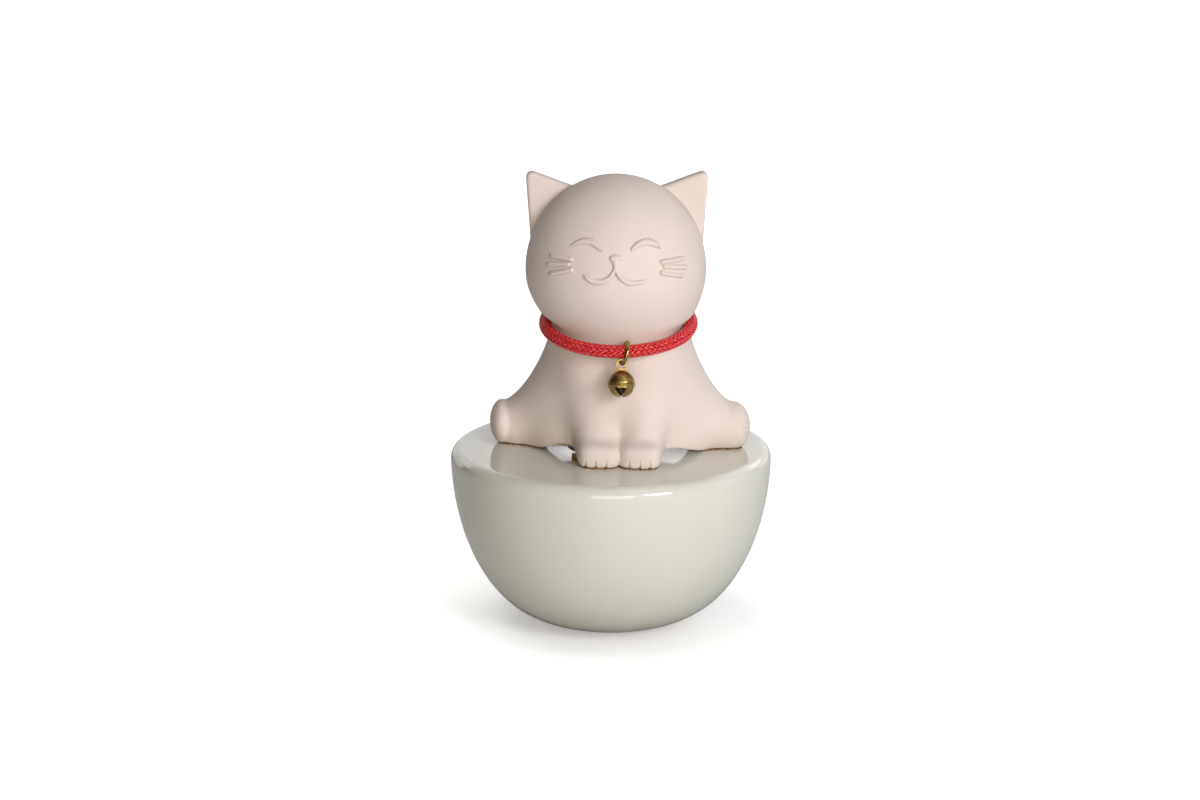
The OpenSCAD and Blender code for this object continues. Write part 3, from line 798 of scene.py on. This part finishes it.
def sweep(path, normal, half_w, half_t, sides, closed=True):
    """Tube of an oval section along a path; normal points out of the section's flat side."""
    ahead = np.roll(path, -1, 0) - np.roll(path, 1, 0)
    if not closed:
        ahead[0], ahead[-1] = path[1] - path[0], path[-1] - path[-2]
    ahead /= np.linalg.norm(ahead, axis=1)[:, None]
    normal = normal - (normal * ahead).sum(1)[:, None] * ahead
    normal /= np.linalg.norm(normal, axis=1)[:, None]
    across = np.cross(ahead, normal)
    a = np.arange(sides) * 2 * math.pi / sides
    c, s = np.cos(a), np.sin(a)
    half_w = np.broadcast_to(half_w, len(path))
    half_t = np.broadcast_to(half_t, len(path))
    return (path[:, None] + across[:, None] * (half_w[:, None] * c)[..., None]
            + normal[:, None] * (half_t[:, None] * s)[..., None])


def capped_tube_faces(count, sides):
    """Faces of an open tube of count rings, closed at both ends."""
    faces = grid_faces(count, sides).tolist()
    faces.append(list(range(sides))[::-1])
    faces.append([(count - 1) * sides + i for i in range(sides)])
    return faces


def build_braid():
    per_crossing = 4
    crossings = CARRIERS * TURNS
    count = crossings * per_crossing
    sides = 6
    t = np.arange(count) / count
    points, faces, uvs, tones, lifts = [], [], [], [], []
    rng = np.random.default_rng(5)
    middle_r = CORD_R + 0.03 - STRAND_T - UNDULATION
    core_gap = 0.12
    flat_tops = 0.7
    fibre_shift = 3.7
    for carrier in range(CARRIERS):
        way = 1 if carrier % 2 == 0 else -1
        slot = carrier // 2
        around = 2 * math.pi * t
        roll = way * 2 * math.pi * (TURNS * t) + slot * 2 * math.pi / (CARRIERS / 2)
        # Two over, two under: wherever strands of opposite ways cross, one is up and the other is down
        beat = way * crossings * t + 2 * slot + (0 if way > 0 else 2)
        wave = np.sin(math.pi / 2 * beat + math.pi / 4)
        wave = np.sign(wave) * np.abs(wave) ** flat_tops
        jitter = 0.02 * rng.standard_normal(count)
        radius = middle_r + UNDULATION * wave + jitter
        path = on_cord(around, roll, radius)
        core = on_cord(around, roll, np.zeros(count))
        half_w = STRAND_W * (0.97 + 0.06 * rng.random(count))
        ring = sweep(path, path - core, half_w, STRAND_T, sides)
        faces.append(grid_faces(count, sides, True, True, len(points) * count * sides))
        points.append(ring.reshape(-1, 3))
        u = np.repeat(t * LOOP_LENGTH, sides)
        v = np.tile(np.arange(sides) / sides, count)
        uvs.append(np.stack([u, v + carrier * fibre_shift], -1))
        tones.append(np.full(count * sides, rng.random()))
        # Painted shade: lift is high on the tops of strands that lie over and falls to 0 on their sides and
        # undersides; the red finish darkens by it and puts its painted highlight on the tops
        facing = np.maximum(np.sin(np.arange(sides) * 2 * math.pi / sides), 0)
        lifts.append(((0.5 + 0.5 * wave)[:, None] * facing).ravel())
    piece = mesh_piece("braided_collar", np.vstack(points), np.vstack(faces), RED, "collar", ["collar_cord"],
                       uv=np.vstack(uvs))
    tone = piece.data.attributes.new("tone", "FLOAT", "POINT")
    tone.data.foreach_set("value", np.concatenate(tones).astype(np.float32))
    lift = piece.data.attributes.new("lift", "FLOAT", "POINT")
    lift.data.foreach_set("value", np.concatenate(lifts).astype(np.float32))
    # Core under the strands, in a darker red as painted shade where it shows between them
    long_steps, round_steps = 240, 16
    around, roll = np.meshgrid(np.arange(long_steps) * 2 * math.pi / long_steps,
                               np.arange(round_steps) * 2 * math.pi / round_steps, indexing="ij")
    core = on_cord(around, roll, np.full(around.shape, middle_r - core_gap)).reshape(-1, 3)
    core_uv = np.stack([around.ravel() * COLLAR_R, roll.ravel()], -1)
    mesh_piece("cord_core", core, grid_faces(long_steps, round_steps, True, True), RED_CORE_SHADE, "collar", [],
               uv=core_uv)


build_braid()


def build_whipping():
    """Thread wound over the cord's joined ends, at the back."""
    thread_r = 0.12
    winds = 29
    wind_length = 12
    span = math.radians(20)
    per_wind = 20
    sides = 7
    t = np.linspace(0, 1, winds * per_wind + 1)
    around = math.pi / 2 + (t - 0.5) * span
    roll = 2 * math.pi * winds * t
    path = on_cord(around, roll, np.full(len(t), CORD_R + thread_r * 0.6))
    core = on_cord(around, roll, np.zeros(len(t)))
    ring = sweep(path, path - core, thread_r, thread_r, sides, closed=False)
    faces = capped_tube_faces(len(t), sides)
    uv = np.stack([np.repeat(t * winds * wind_length, sides), np.tile(np.arange(sides) / sides, len(t))], -1)
    mesh_piece("thread_whipping", ring.reshape(-1, 3), faces, RED_THREAD, "collar", ["cord_binding"],
               uv=uv)


build_whipping()


# ---------------------------------------------------------------- ring
WIRE_R = 0.55
RING_R = 3.1
RING_DROP = 0.45
RING_LEAN = math.radians(16.5)
RING_YAW = math.radians(11)
RING_GAP = math.radians(5)


def build_ring():
    cross = np.array(JOINTS["ring_swing"]["pos_m"]) / MM
    up = np.array([math.sin(RING_LEAN) * math.cos(RING_YAW), math.sin(RING_LEAN) * math.sin(RING_YAW),
                   math.cos(RING_LEAN)])
    across = np.array([-math.sin(RING_YAW), math.cos(RING_YAW), 0])
    centre = cross - RING_DROP * up
    count, sides = 120, 18
    angle = math.pi / 2 + RING_GAP / 2 + np.linspace(0, 2 * math.pi - RING_GAP, count)
    path = centre + RING_R * (np.cos(angle)[:, None] * across + np.sin(angle)[:, None] * up)
    # The cut ends are filed a little thinner
    taper = np.ones(count)
    taper[[0, -1]] = 0.86
    ring = sweep(path, path - centre, WIRE_R * taper, WIRE_R * taper, sides, closed=False)
    faces = capped_tube_faces(count, sides)
    mesh_piece("split_ring", ring.reshape(-1, 3), faces, WIRE, "ring", ["jump_ring"])


build_ring()

# ---------------------------------------------------------------- bell
BELL_R = 3.8
BELL_CELL = 0.075
EYE_CELL = 0.07
BELL_WALL = 0.4
BELL_TURN = math.radians(-5.5)
BELL_LEAN = math.radians(13)
EYE_UP = 5.45
EYE_R = 1.68
EYE_HOLE = 1.04
EYE_T = 0.8
# Outline of one opening: (along the belt, up), in mm
SLOT = [(-1.65, -1.2), (-1.35, -0.92), (-0.6, -1.05), (-0.1, -1.28), (0.3, -1.02), (1.0, -1.15),
        (1.65, -1.12), (1.5, -1.7), (0.75, -2.5), (0.28, -3.1), (0.28, -4.5), (-0.28, -4.5), (-0.28, -3.1),
        (-0.75, -2.5), (-1.5, -1.7)]


def turn_about_z(points, angle):
    c, s = math.cos(angle), math.sin(angle)
    return points @ np.array([[c, s, 0], [-s, c, 0], [0, 0, 1]])


def hung(points):
    """Places points made about the bell's own middle: it hangs with its mouth a little forward."""
    c, s = math.cos(BELL_LEAN), math.sin(BELL_LEAN)
    return points @ np.array([[1, 0, 0], [0, c, -s], [0, s, c]]) + BELL_C


def bell_cup_field(x, y, z):
    r = np.sqrt(x * x + y * y + z * z)
    flat_r = np.hypot(x, y)
    # Four openings: wide under the belt, narrowing to a slit
    lon = np.degrees(np.arctan2(x, -y))
    off = np.radians((lon + 45) % 90 - 45)
    hole = polygon_distance(flat_r * np.sin(off), z, SLOT)
    lip = 0.09 * (1 - ease(hole, 0.12, 0.5))
    shell = np.abs(r - (BELL_R - BELL_WALL / 2) - lip) - BELL_WALL / 2
    # Rolled belt at the joint with the cap
    belt = np.hypot(flat_r - BELL_R + 0.12, z + 0.22) - 0.24
    f = soft_min(shell, belt, 0.12)
    f = soft_max(f, z, 0.06)
    f = np.maximum(f, BELL_R - BELL_WALL - r)
    return soft_max(f, -hole, 0.12)


def bell_cap_profile():
    """Upper half of the bell as a closed profile, outside then inside."""
    a = np.linspace(0, math.pi / 2, 26)
    outer = np.stack([BELL_R * np.cos(a), BELL_R * np.sin(a)], -1)
    inner_r = BELL_R - BELL_WALL
    inner = np.stack([inner_r * np.cos(a), inner_r * np.sin(a)], -1)[::-1]
    outer[0] = (BELL_R - 0.03, 0.04)
    outer[-1, 0] = 0.01
    inner[0, 0] = 0.01
    inner[-1] = (inner_r + 0.03, 0.04)
    return np.vstack([outer, inner])


def bell_eye_field(x, y, z):
    """Loop cast on the bell's crown: a ring on a post that widens at its foot."""
    up = z - EYE_UP
    ring = np.sqrt((np.hypot(x, up) - (EYE_R + EYE_HOLE) / 2) ** 2 + (y * 0.95) ** 2) - (EYE_R - EYE_HOLE) / 2
    ring = soft_min(ring, np.maximum(np.abs(y) - EYE_T / 2, np.hypot(x, up) - EYE_R + 0.05), 0.05)
    post_top, post_foot = 4.45, 3.0
    skirt = 1.42 + 0.42 * ease(-z, -4.5, -3.5)
    post = np.maximum(np.maximum(np.abs(x) - skirt, np.abs(y) - EYE_T / 2),
                      np.maximum(z - post_top, post_foot - z))
    f = soft_min(ring, post, 0.35)
    f = np.maximum(f, EYE_HOLE - np.hypot(x, up * 0.96))
    return np.maximum(f, BELL_R - 0.12 - np.sqrt(x * x + y * y + z * z))


def build_bell():
    points, quads = level_set(bell_cup_field, (-4.3, -4.3, -4.2), (4.3, 4.3, 0.3), BELL_CELL, 2)
    points = turn_about_z(points, BELL_TURN)
    mesh_piece("bell_lower_half", hung(points), quads, BRASS, "bell", ["bell_cup"])
    points, faces = turned(bell_cap_profile(), 96)
    mesh_piece("bell_upper_half", hung(points), faces, BRASS, "bell", ["bell_cap"])
    points, quads = level_set(bell_eye_field, (-2.3, -0.9, 2.8), (2.3, 0.9, 7.7), EYE_CELL, 2)
    mesh_piece("bell_loop", hung(points), quads, BRASS, "bell", ["bell_eye"])


build_bell()

# ---------------------------------------------------------------- CAD nodes that stay
for node_name, finish in {"counterweight": IRON, "weight_bedding": PLASTER, "hole_plug": STOPPER,
                          "bell_pellet": STEEL}.items():
    node_object = frame["nodes"][node_name]
    node_object.data.materials.clear()
    node_object.data.materials.append(finish)

# ---------------------------------------------------------------- floor
FLOOR = 12.0
floor_mesh = bpy.data.meshes.new("floor")
floor_mesh.from_pydata([(-FLOOR, -FLOOR, 0), (FLOOR, -FLOOR, 0), (FLOOR, FLOOR, 0), (-FLOOR, FLOOR, 0)], [],
                       [(0, 1, 2, 3)])
floor_finish = Finish("white_sweep", Roughness=0.7, Specular_IOR_Level=0.1)
seen = floor_finish.node("LightPath").outputs["Is Camera Ray"]
floor_finish.feed("Base Color", floor_finish.mix(seen, (0.52, 0.52, 0.52, 1), (0.9, 0.9, 0.9, 1)))
floor_finish.shader.inputs["Emission Color"].default_value = (1, 1, 1, 1)
# The floor glows a little to the camera alone, more so far off, so that it ends white
far_off = floor_finish.node("VectorMath", {0: floor_finish.place()}, operation="LENGTH").outputs["Value"]
glow = floor_finish.stretch(far_off, 0.3, 1.3, 0.36, 1.0)
floor_finish.feed("Emission Strength", floor_finish.math("MULTIPLY", seen, glow))
floor_mesh.materials.append(floor_finish.material)
floor = bpy.data.objects.new("floor", floor_mesh)
bpy.context.scene.collection.objects.link(floor)

# A wide light from above that falls on the floor alone, so that it stays white round a soft contact shadow
lit = bpy.data.collections.new("floor_only")
lit.objects.link(floor)
wash = softbox("floor_wash", (-0.3, 0.1, 1.3), (0, 0.1, 0), 1.1, 1.1, 9.6)
wash.light_linking.receiver_collection = lit
